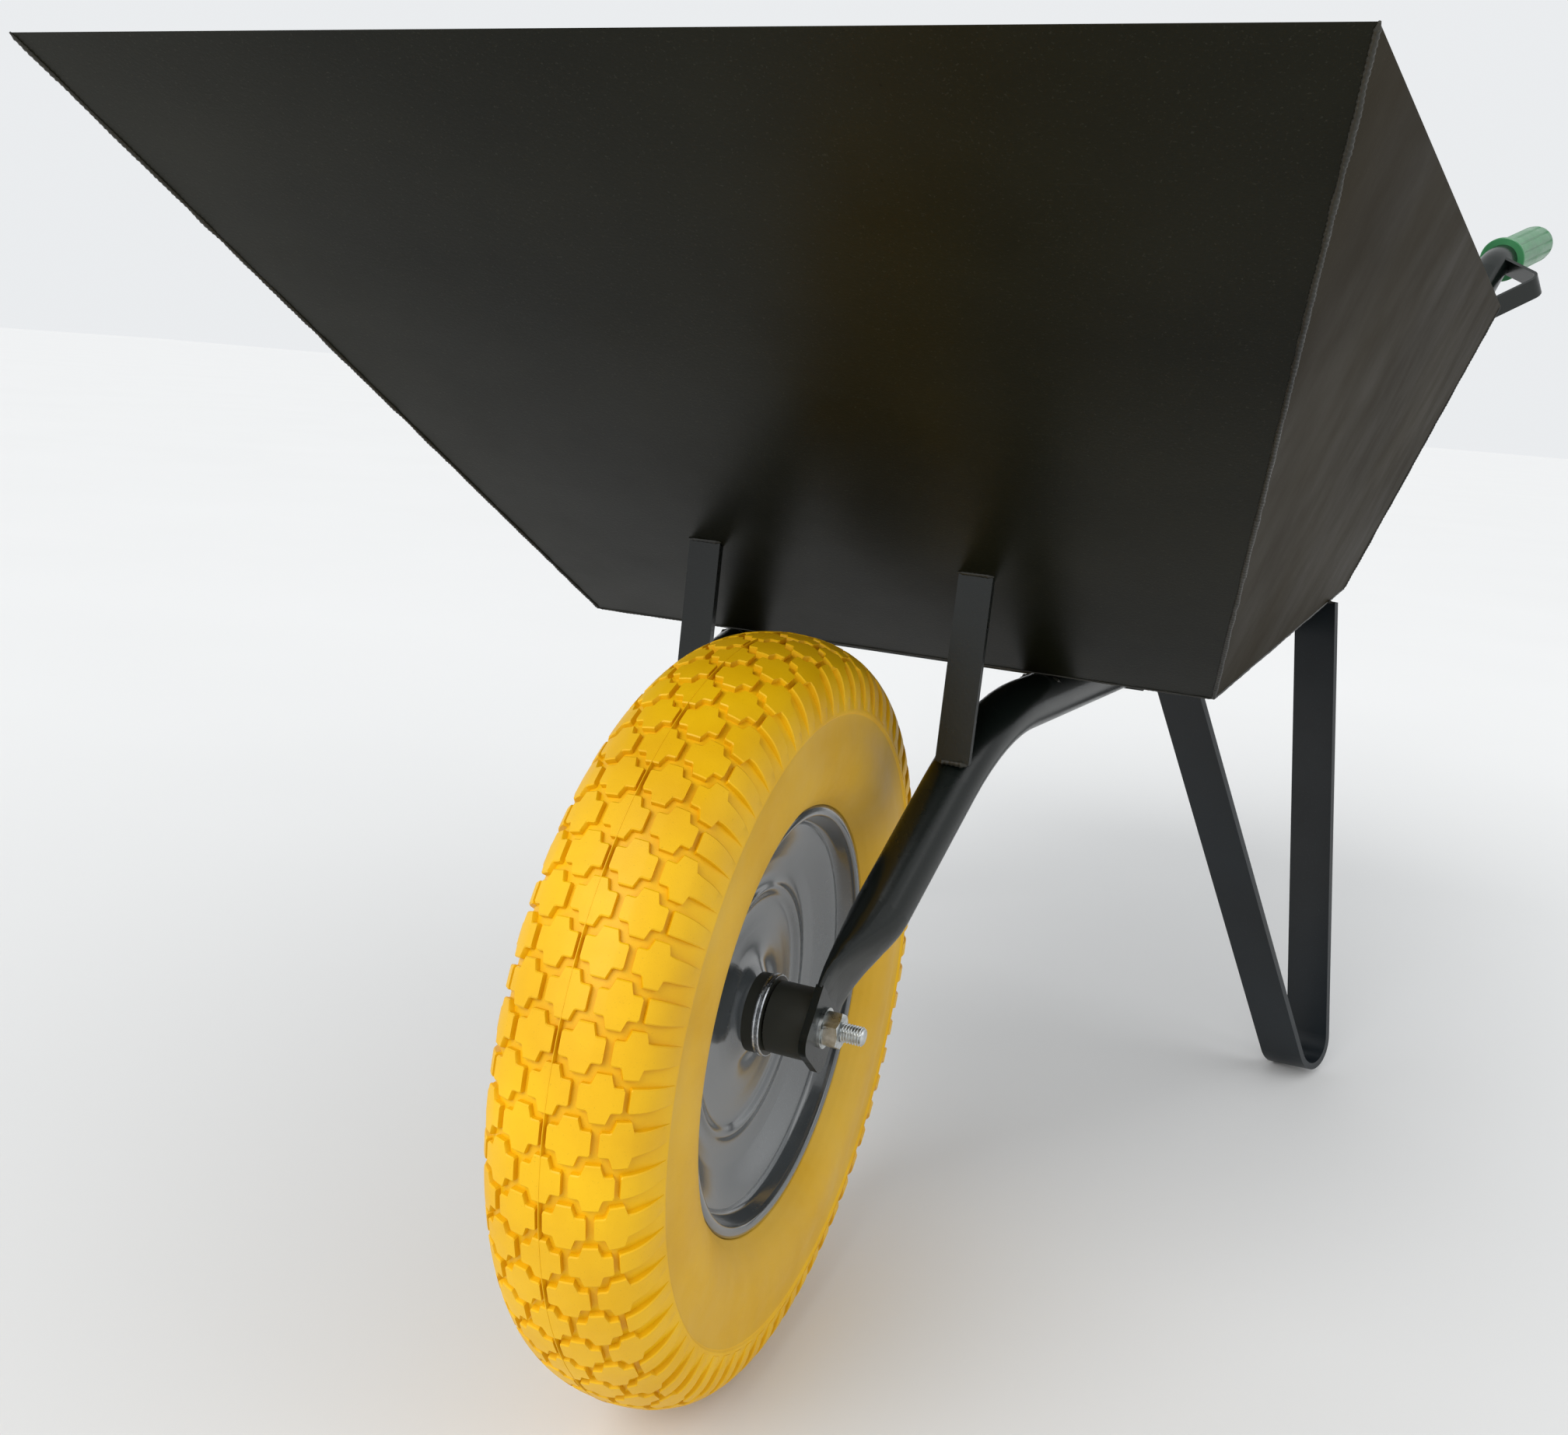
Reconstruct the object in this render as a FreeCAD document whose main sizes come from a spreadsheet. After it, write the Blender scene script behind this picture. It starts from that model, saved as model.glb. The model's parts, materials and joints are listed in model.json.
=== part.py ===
import FreeCAD, Part
import math
import os

import Sketcher
from FreeCAD import Vector

# Wheelbarrow: a welded sheet tray on two bent tubes, two strap legs, one wheel.
# +X is to the side, +Y runs from the wheel to the grips, +Z is up, floor at Z = 0.
# Shapes are worked out with Y = 0 at the axle; each one is then placed so that the
# middle of the whole length is at Y = 0.

doc = FreeCAD.newDocument("wheelbarrow")
sheet = doc.addObject("Spreadsheet::Sheet", "Sizes")

DRIVING = (
    # wheel
    ("tyreRadius", 195.0), ("tyreHalfWidth", 40.0), ("treadHalfWidth", 31.0),
    ("shoulderRadius", 162.0), ("crownDrop", 6.5), ("beadHalfWidth", 30.0),
    ("flangeRadius", 110.6), ("flangeHalfWidth", 27.3), ("rimThickness", 2.0),
    ("seatRadius", 97.0), ("seatHalfWidth", 17.0), ("bandRadius", 80.0),
    ("bandHalfWidth", 10.5), ("bowlRadius", 62.0), ("bowlHalfWidth", 6.5),
    # hub, bearings and axle
    ("hubRadius", 20.5), ("hubHalfLength", 21.0), ("bearingRadius", 16.0),
    ("bearingWidth", 10.0), ("sleeveWall", 0.75), ("raceWall", 2.6),
    ("ballRadius", 2.3), ("ballCount", 9.0), ("cageHalfWidth", 1.2),
    ("runningGap", 0.05), ("axleRadius", 5.0), ("axleClearance", 0.25),
    ("spacerRadius", 18.5), ("spacerBossRadius", 8.6), ("spacerBossLength", 1.2),
    ("hexAcrossFlats", 17.0), ("nutHeight", 8.4), ("headHeight", 6.4),
    ("washerRadius", 10.5), ("washerThickness", 1.6), ("boltEndBeyondNut", 12.0),
    # frame tubes; every height of the frame is measured up from the axle
    ("tubeRadius", 15.0), ("tubeWall", 2.0), ("lugInnerFace", 44.0),
    ("lugThickness", 4.0), ("lugHalfWidth", 21.0), ("lugBelowHole", 20.0),
    ("lugAboveHole", 14.0), ("pinchLength", 57.0), ("frontBendRadius", 108.0),
    ("rearBendRadius", 85.0), ("frontBendX", 84.4), ("frontBendY", 123.7),
    ("tubeAheadOfAxle", 4.0), ("underTrayDrift", 0.2), ("rearBendY", 775.0), ("gripStartX", 338.5),
    ("gripStartY", 1085.0), ("gripStartZ", 491.0), ("gripRunX", 36.5),
    ("gripRunY", 120.0), ("gripRunZ", 31.0), ("handleBendBack", 28.0),
    ("handleBendRadius", 60.0),
    # tray, to the outer faces
    ("trayFrontTopX", 248.0), ("trayFrontTopY", -208.0), ("trayFrontTopZ", 424.0),
    ("trayFrontLowX", 196.5), ("trayFrontLowY", 190.0), ("trayFrontLowZ", 161.0),
    ("trayRearTopX", 331.0), ("trayRearTopY", 752.0), ("trayRearTopZ", 422.0),
    ("trayRearLowY", 695.0), ("trayRearLowZ", 179.0), ("sheetThickness", 1.5),
    ("lipWidth", 14.0),
    # struts, legs, cross bars and hand guards
    ("strutX", 78.0), ("strutWidth", 18.5), ("strutThickness", 5.0),
    ("strutTopZ", 221.5), ("strutLowZ", 127.0), ("strutLean", 0.085),
    ("strapWidth", 34.5), ("strapThickness", 5.0), ("legBendRadius", 24.0),
    ("legFootX", 275.0), ("legFootY", 544.0), ("legFrontX", 141.5),
    ("legFrontY", 418.0), ("legRearX", 229.5), ("legRearY", 614.0),
    ("barWidth", 40.0), ("barThickness", 5.0), ("barFrontY", 360.0),
    ("barRearY", 660.0), ("barOverhang", 6.0),
    ("guardWidth", 21.0), ("guardThickness", 3.0), ("guardBendRadius", 8.0),
    ("guardOutX", 33.0), ("guardOutY", -45.0), ("guardOutZ", -19.5),
    ("guardDrop", 90.0),
    # grips
    ("gripRadius", 19.0), ("gripLength", 126.0), ("gripFlangeRadius", 21.8),
    ("gripFlangeLength", 5.0), ("gripEndWall", 4.0), ("gripEndRound", 6.0),
)
for row, (name, value) in enumerate(DRIVING, start=1):
    sheet.set("A%d" % row, name)
    sheet.set("B%d" % row, "%g" % value)
    sheet.setAlias("B%d" % row, name)
doc.recompute()


class Size:
    """A length with its number and the expression that gives it from the sheet."""

    def __init__(self, number, text):
        self.number = float(number)
        self.text = text

    def __add__(self, other):
        other = as_size(other)
        return Size(self.number + other.number, "(%s + %s)" % (self.text, other.text))

    def __sub__(self, other):
        other = as_size(other)
        return Size(self.number - other.number, "(%s - %s)" % (self.text, other.text))

    def __mul__(self, other):
        other = as_size(other)
        return Size(self.number * other.number, "(%s * %s)" % (self.text, other.text))

    def __truediv__(self, other):
        other = as_size(other)
        return Size(self.number / other.number, "(%s / %s)" % (self.text, other.text))

    def __neg__(self):
        return Size(-self.number, "(0 - %s)" % self.text)


def as_size(value):
    if isinstance(value, Size):
        return value
    return Size(value, "%.10g" % value)


def size(name):
    return Size(getattr(sheet, name), "Sizes." + name)


def mm(name):
    return float(getattr(sheet, name))


# ---------------------------------------------------------------- derived places

def unit(vector):
    return Vector(vector).multiply(1.0 / vector.Length)


axleZ = mm("tyreRadius")


def height(alias):
    """Height over the floor of a value that is measured up from the axle."""
    return axleZ + mm(alias)


floorSlope = (height("trayRearLowZ") - height("trayFrontLowZ")) / (
    mm("trayRearLowY") - mm("trayFrontLowY"))
floorUp = unit(Vector(0, -floorSlope, 1))


def under_floor(x, y, below):
    """Point below the tray floor's outer face, measured square to the floor."""
    z = height("trayFrontLowZ") + floorSlope * (y - mm("trayFrontLowY"))
    return Vector(x, y, z) - floorUp * below


def tube_x(y):
    return mm("frontBendX") + mm("underTrayDrift") * (y - mm("frontBendY"))


def tube_axis(y):
    """Centre of the tube where it runs under the tray floor."""
    z = under_floor(0, y, 0).z - mm("tubeRadius") / floorUp.z
    return Vector(tube_x(y), y, z)


lugX = mm("lugInnerFace") + mm("lugThickness") / 2
gripStart = Vector(mm("gripStartX"), mm("gripStartY"), height("gripStartZ"))
gripDirection = unit(Vector(mm("gripRunX"), mm("gripRunY"), mm("gripRunZ")))
gripEnd = gripStart + gripDirection * mm("gripLength")
frontBend = tube_axis(mm("frontBendY"))
rearBend = tube_axis(mm("rearBendY"))
handleBend = gripStart - gripDirection * mm("handleBendBack")
riseDirection = unit(handleBend - rearBend)

# The whole runs from the tray's front lip to the round end of the grips.
squareToY = math.sqrt(1 - gripDirection.y ** 2)
gripEndFlat = mm("gripRadius") - mm("gripEndRound")
gripRoundBack = gripEnd.y - mm("gripEndRound") * gripDirection.y
rearReach = gripRoundBack + gripEndFlat * squareToY + mm("gripEndRound")
yAxle = -(rearReach + mm("trayFrontTopY")) / 2
toMiddle = Vector(0, yAxle, 0)
sheet.set("D1", "axleY")
sheet.set("E1", "%.9g" % yAxle)
sheet.setAlias("E1", "axleY")
doc.recompute()

nodes = []


def keep(feature, node):
    feature.Label = node
    nodes.append(feature)
    return feature


def built_shape(node, shape):
    """A sub-part whose shape is worked out in this file."""
    feature = doc.addObject("Part::Feature", node + "_shape")
    feature.Shape = shape
    feature.Placement = FreeCAD.Placement(toMiddle, FreeCAD.Rotation())
    return keep(feature, node)


def mirrored(node, source):
    """The left-hand twin of a right-hand sub-part."""
    feature = doc.addObject("Part::Mirroring", node + "_mirror")
    feature.Source = source
    feature.Normal = Vector(1, 0, 0)
    feature.Base = Vector(0, 0, 0)
    return keep(feature, node)


# ---------------------------------------------------------------- sketch helpers

def origin_feature(body, role):
    for item in body.Origin.OriginFeatures:
        if item.Role == role:
            return item
    raise ValueError(role)


def outline(body, name, corners):
    """A closed outline on the body's XY plane, every corner tied to the sheet."""
    sketch = body.newObject("Sketcher::SketchObject", name)
    sketch.AttachmentSupport = [(origin_feature(body, "XY_Plane"), "")]
    sketch.MapMode = "FlatFace"
    places = [Vector(x.number, y.number, 0) for x, y in corners]
    count = len(places)
    for index in range(count):
        following = places[(index + 1) % count]
        sketch.addGeometry(Part.LineSegment(places[index], following), False)
    for index in range(count):
        after = (index + 1) % count
        sketch.addConstraint(Sketcher.Constraint("Coincident", index, 2, after, 1))
    for index, (x, y) in enumerate(corners):
        for kind, across in (("DistanceX", x), ("DistanceY", y)):
            if abs(across.number) < 1e-9:
                on_axis = -2 if kind == "DistanceX" else -1
                rule = Sketcher.Constraint("PointOnObject", index, 1, on_axis)
                sketch.addConstraint(rule)
                continue
            rule = Sketcher.Constraint(kind, -1, 1, index, 1, across.number)
            number = sketch.addConstraint(rule)
            sketch.setExpression("Constraints[%d]" % number, across.text)
    return sketch


def turned(node, corners, about="H_Axis"):
    """A body turned about its own X axis from an outline of (along, radius)."""
    body = doc.addObject("PartDesign::Body", node + "_body")
    sketch = outline(body, node + "_outline", corners)
    turn = body.newObject("PartDesign::Revolution", node + "_turn")
    turn.Profile = sketch
    turn.ReferenceAxis = (sketch, [about])
    turn.Angle = 360
    doc.recompute()
    return body, turn


def on_axle(body):
    body.setExpression("Placement.Base.y", "Sizes.axleY")
    body.setExpression("Placement.Base.z", "Sizes.tyreRadius")
    return body


ZERO = as_size(0)


def ring(first, last, inner, outer):
    """Corners of a plain ring between two places along the axis."""
    return ((first, inner), (last, inner), (last, outer), (first, outer))


# ---------------------------------------------------------------- wheel

thick = size("rimThickness")
seatX = size("seatHalfWidth")
flangeX = size("flangeHalfWidth")

# rim halves: two pressed dishes back to back on the hub tube
rimOuter = (
    (size("hubRadius"), size("bowlHalfWidth") + 4.5),
    (size("hubRadius") + 7.0, size("bowlHalfWidth")),
    (size("bowlRadius"), size("bowlHalfWidth")),
    (size("bandRadius"), size("bandHalfWidth")),
    (size("seatRadius"), seatX),
    (size("seatRadius") + 5.0, seatX + 1.5),
    (size("flangeRadius") - 5.0, flangeX),
    (size("flangeRadius"), flangeX),
)
rimInner = (
    (size("flangeRadius"), flangeX - thick),
    (size("flangeRadius") - 3.4, flangeX - thick),
    (size("seatRadius") + 7.0, seatX - thick + 1.5),
    (size("seatRadius") + 1.0, seatX - thick),
    (size("bandRadius") + 1.0, size("bandHalfWidth") - thick),
    (size("bowlRadius") + 1.0, size("bowlHalfWidth") - thick),
    (size("hubRadius"), size("bowlHalfWidth") - thick),
)
rimCorners = [(x, r) for r, x in rimOuter + rimInner]
rimBody, rimTurn = turned("rim_right", rimCorners)
rimRight = keep(on_axle(rimBody), "rim_right")
mirrored("rim_left", rimRight)

# tyre: tread crown, shoulders, side walls and the seat that fills the rim channel
treadX = size("treadHalfWidth")
half = [
    (treadX * 0.5, size("tyreRadius") - size("crownDrop") * 0.2),
    (treadX, size("tyreRadius") - size("crownDrop")),
    (size("tyreHalfWidth") - 2.0, size("shoulderRadius") + 12.0),
    (size("tyreHalfWidth"), size("shoulderRadius")),
    (size("tyreHalfWidth") - 0.6, (size("shoulderRadius") + size("flangeRadius")) / 2),
    (size("beadHalfWidth"), size("flangeRadius") + 2.2),
    (flangeX, size("flangeRadius")),
]
half += [(x, r) for r, x in rimInner[:5]]
tyreCorners = [(ZERO, size("tyreRadius"))]
tyreCorners += half
tyreCorners += [(-x, r) for x, r in reversed(half)]
tyreBody, tyreTurn = turned("tyre", tyreCorners)
keep(on_axle(tyreBody), "tyre")

hubIn = size("bearingRadius")
stopIn = size("bearingRadius") - 2.0
hubEnd = size("hubHalfLength")
stopAt = hubEnd - size("bearingWidth")
hubCorners = (
    (-hubEnd, size("hubRadius")), (-hubEnd, hubIn), (-stopAt, hubIn), (-stopAt, stopIn),
    (stopAt, stopIn), (stopAt, hubIn), (hubEnd, hubIn), (hubEnd, size("hubRadius")),
)
hubBody, hubTurn = turned("hub_tube", hubCorners)
keep(on_axle(hubBody), "hub_tube")

# ball bearings: outer race and caged balls turn with the wheel, inner race stays
bore = size("axleRadius") + size("axleClearance") + size("sleeveWall")
wall = size("raceWall")
pitch = (size("bearingRadius") + bore) / 2
ball = size("ballRadius")
gap = size("runningGap")
middle = hubEnd - size("bearingWidth") / 2


def grooved(first, last, inner, outer, groove_side):
    """A race: a ring with a shallow flat-bottomed track for the balls."""
    trackHalf = ball * 0.8
    if groove_side == "inner":
        deep = pitch + ball + gap
        return ((first, inner), (middle - trackHalf, inner), (middle - trackHalf, deep),
                (middle + trackHalf, deep), (middle + trackHalf, inner), (last, inner),
                (last, outer), (first, outer))
    deep = pitch - ball - gap
    return ((first, inner), (last, inner), (last, outer), (middle + trackHalf, outer),
            (middle + trackHalf, deep), (middle - trackHalf, deep),
            (middle - trackHalf, outer), (first, outer))


outerRace, turnA = turned("bearing_outer_right", grooved(
    stopAt, hubEnd, size("bearingRadius") - wall, size("bearingRadius"), "inner"))
outerRight = keep(on_axle(outerRace), "bearing_outer_right")
mirrored("bearing_outer_left", outerRight)
innerRace, turnB = turned("bearing_inner_right", grooved(
    stopAt, hubEnd, bore, bore + wall, "outer"))
innerRight = keep(on_axle(innerRace), "bearing_inner_right")
mirrored("bearing_inner_left", innerRight)

cageHalf = size("cageHalfWidth")
cageBody, cageTurn = turned("bearing_balls_right", ring(
    middle - cageHalf, middle + cageHalf, pitch - 0.9, pitch + 0.9))
oneBall = cageBody.newObject("PartDesign::AdditiveSphere", "one_ball")
oneBall.setExpression("Radius", ball.text)
oneBall.AttachmentSupport = [(origin_feature(cageBody, "XY_Plane"), "")]
oneBall.MapMode = "FlatFace"
oneBall.setExpression("AttachmentOffset.Base.x", middle.text)
oneBall.setExpression("AttachmentOffset.Base.y", pitch.text)
doc.recompute()
ballRing = cageBody.newObject("PartDesign::PolarPattern", "ball_ring")
ballRing.Originals = [oneBall]
ballRing.Axis = (origin_feature(cageBody, "X_Axis"), [""])
ballRing.Angle = 360
ballRing.setExpression("Occurrences", "Sizes.ballCount")
cageBody.Tip = ballRing
doc.recompute()
ballsRight = keep(on_axle(cageBody), "bearing_balls_right")
mirrored("bearing_balls_left", ballsRight)

# ---------------------------------------------------------------- axle

lugIn = size("lugInnerFace")
lugOut = lugIn + size("lugThickness")
washerOut = lugOut + size("washerThickness")
nutOut = washerOut + size("nutHeight")
boltEnd = nutOut + size("boltEndBeyondNut")
clearBore = size("axleRadius") + size("axleClearance")

sleeveBody, sleeveTurn = turned("axle_sleeve", ring(
    -lugIn, lugIn, clearBore, bore))
keep(on_axle(sleeveBody), "axle_sleeve")

bossEnd = hubEnd + size("spacerBossLength")
spacerCorners = (
    (hubEnd, bore), (lugIn, bore), (lugIn, size("spacerRadius")),
    (bossEnd, size("spacerRadius")), (bossEnd, size("spacerBossRadius")),
    (hubEnd, size("spacerBossRadius")),
)
spacerBody, spacerTurn = turned("hub_spacer_right", spacerCorners)
spacerRight = keep(on_axle(spacerBody), "hub_spacer_right")
mirrored("hub_spacer_left", spacerRight)

washerBody, washerTurn = turned("axle_washer_right", ring(
    lugOut, washerOut, clearBore, size("washerRadius")))
washerRight = keep(on_axle(washerBody), "axle_washer_right")
mirrored("axle_washer_left", washerRight)

ALONG_X = FreeCAD.Rotation(Vector(0, 1, 0), 90)


def rounded_hex(name, flats, first, last):
    """A hexagon along X between two places, its six corners turned off at both ends."""
    prism = doc.addObject("Part::Prism", name + "_hex")
    prism.Polygon = 6
    prism.setExpression("Circumradius", (flats / math.sqrt(3)).text)
    prism.setExpression("Height", (last - first).text)
    prism.Placement = FreeCAD.Placement(Vector(0, 0, 0), ALONG_X)
    prism.setExpression("Placement.Base.x", first.text)
    corner = flats / math.sqrt(3) + 0.2
    slope = corner - flats / 2
    drop = slope * 0.55
    body, turn = turned(name + "_corners", (
        (first, ZERO), (last, ZERO), (last, flats / 2), (last - drop, corner),
        (first + drop, corner), (first, flats / 2)))
    common = doc.addObject("Part::Common", name + "_rounded")
    common.Base = prism
    common.Tool = body
    return common


def rod(name, radius, first, last):
    cylinder = doc.addObject("Part::Cylinder", name)
    cylinder.setExpression("Radius", radius.text)
    cylinder.setExpression("Height", (last - first).text)
    cylinder.Placement = FreeCAD.Placement(Vector(0, 0, 0), ALONG_X)
    cylinder.setExpression("Placement.Base.x", first.text)
    return cylinder


def joined(kind, name, base, tool):
    feature = doc.addObject("Part::" + kind, name)
    feature.Base = base
    feature.Tool = tool
    return feature


flats = size("hexAcrossFlats")
head = rounded_hex("bolt_head", flats, -(washerOut + size("headHeight")), -washerOut)
shank = rod("bolt_shank", size("axleRadius"), -(washerOut + 0.5), boltEnd)
axleBolt = joined("Fuse", "axle_bolt_fuse", head, shank)
keep(on_axle(axleBolt), "axle_bolt")
nutSolid = rounded_hex("axle_nut_blank", flats, washerOut, nutOut)
nutBore = rod("axle_nut_bore", size("axleRadius"), washerOut - 1.0, nutOut + 1.0)
axleNut = joined("Cut", "axle_nut_cut", nutSolid, nutBore)
keep(on_axle(axleNut), "axle_nut")

# ---------------------------------------------------------------- bent paths

def rounded_path(points, radius):
    """Straight runs and tangent arcs through the points, as a list of edges."""
    edges = []
    start = points[0]
    for index in range(1, len(points) - 1):
        corner = points[index]
        back = unit(points[index - 1] - corner)
        ahead = unit(points[index + 1] - corner)
        turn = math.pi - back.getAngle(ahead)
        bend = radius[index - 1]
        trim = bend * math.tan(turn / 2)
        first = corner + back * trim
        last = corner + ahead * trim
        inward = unit(back + ahead)
        centre = corner + inward * (bend / math.cos(turn / 2))
        edges.append(Part.LineSegment(start, first).toShape())
        edges.append(Part.Arc(first, centre - inward * bend, last).toShape())
        start = last
    edges.append(Part.LineSegment(start, points[-1]).toShape())
    return edges


def round_sweep(edges, radius):
    spine = Part.Wire(edges)
    start = edges[0].valueAt(edges[0].FirstParameter)
    along = edges[0].tangentAt(edges[0].FirstParameter)
    section = Part.Wire([Part.Circle(start, along, radius).toShape()])
    return spine.makePipeShell([section], True, True)


def strap(points, bend, width, thickness):
    """A flat bar bent once, in the plane of its three points."""
    square = unit((points[2] - points[1]).cross(points[0] - points[1]))
    outward = []
    inward = []
    for edge in rounded_path(points, [bend]):
        ends = []
        for where in (edge.FirstParameter, edge.LastParameter):
            ends.append((edge.valueAt(where), edge.tangentAt(where)))
        side = [unit(square.cross(tangent)) for place, tangent in ends]
        for store, sign in ((outward, 0.5), (inward, -0.5)):
            shift = [direction * (sign * thickness) for direction in side]
            first = ends[0][0] + shift[0]
            last = ends[1][0] + shift[1]
            if isinstance(edge.Curve, Part.Circle):
                half = (edge.FirstParameter + edge.LastParameter) / 2
                aside = unit(square.cross(edge.tangentAt(half)))
                via = edge.valueAt(half) + aside * (sign * thickness)
                store.append(Part.Arc(first, via, last).toShape())
            else:
                store.append(Part.LineSegment(first, last).toShape())
    closing = []
    for end in (0, -1):
        parameter = "FirstParameter" if end == 0 else "LastParameter"
        a = outward[end].valueAt(getattr(outward[end], parameter))
        b = inward[end].valueAt(getattr(inward[end], parameter))
        closing.append(Part.LineSegment(a, b).toShape())
    wire = Part.Wire(Part.__sortEdges__(outward + inward + closing))
    face = Part.Face(wire)
    face.translate(square * (-width / 2))
    return face.extrude(square * width)


# ---------------------------------------------------------------- frame tubes

tubeR = mm("tubeRadius")
lugCentre = Vector(lugX, 0, axleZ)
downTube = unit(Vector(0, frontBend.y, frontBend.z - axleZ))
lugTop = lugCentre + downTube * mm("lugAboveHole")
pinchAim = Vector(lugX, -mm("tubeAheadOfAxle"), axleZ)
tubeLean = unit(frontBend - pinchAim)
pinchTop = pinchAim + tubeLean * (mm("lugAboveHole") + mm("pinchLength"))


def smooth_run(share):
    """Centre line of the flattened run, in line with the lug and with the tube."""
    reach = (pinchTop - lugTop).Length
    fromLug = 2 * share ** 3 - 3 * share ** 2 + 1
    leaving = share ** 3 - 2 * share ** 2 + share
    arriving = share ** 3 - share ** 2
    return (lugTop * fromLug + pinchTop * (1 - fromLug)
            + downTube * (leaving * reach) + tubeLean * (arriving * reach))


def pinch_section(share):
    """Section of the flattened run: 0 at the lug, 1 where the tube is round."""
    smooth = share * share * (3 - 2 * share)
    centre = smooth_run(share)
    along = unit(downTube * (1 - smooth) + tubeLean * smooth)
    thin = unit(Vector(1, 0, 0) - along * along.x)
    wide = along.cross(thin)
    halfThin = mm("lugThickness") / 2 * (1 - smooth) + (tubeR - 0.02) * smooth
    halfWide = mm("lugHalfWidth") * (1 - smooth) + (tubeR - 0.02) * smooth
    power = 0.35 + 0.65 * smooth
    points = []
    count = 24
    for step in range(count):
        angle = 2 * math.pi * (step + 0.5) / count
        across = math.copysign(abs(math.cos(angle)) ** power, math.cos(angle))
        lift = math.copysign(abs(math.sin(angle)) ** power, math.sin(angle))
        points.append(centre + wide * (across * halfWide) + thin * (lift * halfThin))
    curve = Part.BSplineCurve()
    curve.interpolate(Points=points, PeriodicFlag=True)
    return Part.Wire([curve.toShape()])


def lug_plate():
    """The flat end: a plate in the YZ plane with rounded lower corners."""
    wide = Vector(1, 0, 0).cross(downTube)
    low = lugCentre - downTube * mm("lugBelowHole")
    top = lugTop + downTube * 1.0
    reach = wide * mm("lugHalfWidth") * 0.985
    corners = [top - reach, low - reach, low + reach, top + reach]
    edges = rounded_path(corners, [9.0, 9.0])
    edges.append(Part.LineSegment(corners[-1], corners[0]).toShape())
    face = Part.Face(Part.Wire(edges))
    face.translate(Vector(-mm("lugThickness") / 2, 0, 0))
    return face.extrude(Vector(mm("lugThickness"), 0, 0))


def pin_along(centre, direction, radius, before, after):
    start = centre - direction * before
    return Part.makeCylinder(radius, before + after, start, direction)


tubeEnd = gripEnd - gripDirection * mm("gripEndWall")
bends = [mm("frontBendRadius"), mm("rearBendRadius"), mm("handleBendRadius")]
route = [pinchTop, frontBend, rearBend, handleBend, tubeEnd]
tubeEdges = rounded_path(route, bends)
solidTube = round_sweep(tubeEdges, tubeR)
hollow = round_sweep(tubeEdges, tubeR - mm("tubeWall"))
pinch = Part.makeLoft([pinch_section(k / 8.0) for k in range(9)], True, False)
tubeShape = solidTube.cut(hollow)
plug = pin_along(pinchTop, tubeLean, tubeR, 0.0, mm("tubeWall"))
tubeShape = tubeShape.fuse([plug, pinch, lug_plate()])
axleHole = pin_along(lugCentre, Vector(1, 0, 0), clearBore.number, 30, 30)
tubeShape = tubeShape.cut(axleHole)

tubeRight = built_shape("frame_tube_right", tubeShape)
mirrored("frame_tube_left", tubeRight)

# ---------------------------------------------------------------- tray

class Plane:
    """A plane given by a point and the direction that points into the tray."""

    def __init__(self, point, inward):
        self.point = point
        self.inward = unit(inward)

    def inset(self, depth):
        return Plane(self.point + self.inward * depth, self.inward)


def meet(a, b, c):
    """The point that three planes share."""
    turns = (b.inward.cross(c.inward), c.inward.cross(a.inward), a.inward.cross(b.inward))
    weights = [plane.point.dot(plane.inward) for plane in (a, b, c)]
    total = turns[0] * weights[0] + turns[1] * weights[1] + turns[2] * weights[2]
    return total * (1.0 / a.inward.dot(turns[0]))


def six_sided(across, along, upward):
    """The solid between three pairs of planes."""
    corner = {}
    for i, a in enumerate(across):
        for j, b in enumerate(along):
            for k, c in enumerate(upward):
                corner[(i, j, k)] = meet(a, b, c)
    loops = (
        ((0, 0, 0), (0, 1, 0), (0, 1, 1), (0, 0, 1)),
        ((1, 0, 0), (1, 1, 0), (1, 1, 1), (1, 0, 1)),
        ((0, 0, 0), (1, 0, 0), (1, 0, 1), (0, 0, 1)),
        ((0, 1, 0), (1, 1, 0), (1, 1, 1), (0, 1, 1)),
        ((0, 0, 0), (1, 0, 0), (1, 1, 0), (0, 1, 0)),
        ((0, 0, 1), (1, 0, 1), (1, 1, 1), (0, 1, 1)),
    )
    faces = []
    for loop in loops:
        points = [corner[key] for key in loop]
        faces.append(Part.Face(Part.makePolygon(points + points[:1])))
    solid = Part.Solid(Part.Shell(faces))
    if solid.Volume < 0:
        solid.reverse()
    return solid


frontTop = Vector(mm("trayFrontTopX"), mm("trayFrontTopY"), height("trayFrontTopZ"))
frontLow = Vector(mm("trayFrontLowX"), mm("trayFrontLowY"), height("trayFrontLowZ"))
rearTop = Vector(mm("trayRearTopX"), mm("trayRearTopY"), height("trayRearTopZ"))
rearLowYZ = Vector(0, mm("trayRearLowY"), height("trayRearLowZ"))
sideways = Vector(1, 0, 0)
frontPlane = Plane(frontTop, sideways.cross(frontTop - frontLow))
rearPlane = Plane(rearTop, sideways.cross(rearLowYZ - Vector(0, rearTop.y, rearTop.z)))
floorPlane = Plane(frontLow, floorUp)
topPlane = Plane(frontTop, sideways.cross(frontTop - rearTop))
rightPlane = Plane(frontTop, (rearTop - frontTop).cross(frontLow - frontTop))
for plane, inside in ((frontPlane, Vector(0, 300, 500)), (rearPlane, Vector(0, 300, 500)),
                      (topPlane, Vector(0, 300, 500)), (rightPlane, Vector(0, 300, 500))):
    if (inside - plane.point).dot(plane.inward) < 0:
        plane.inward = plane.inward * -1
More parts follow.
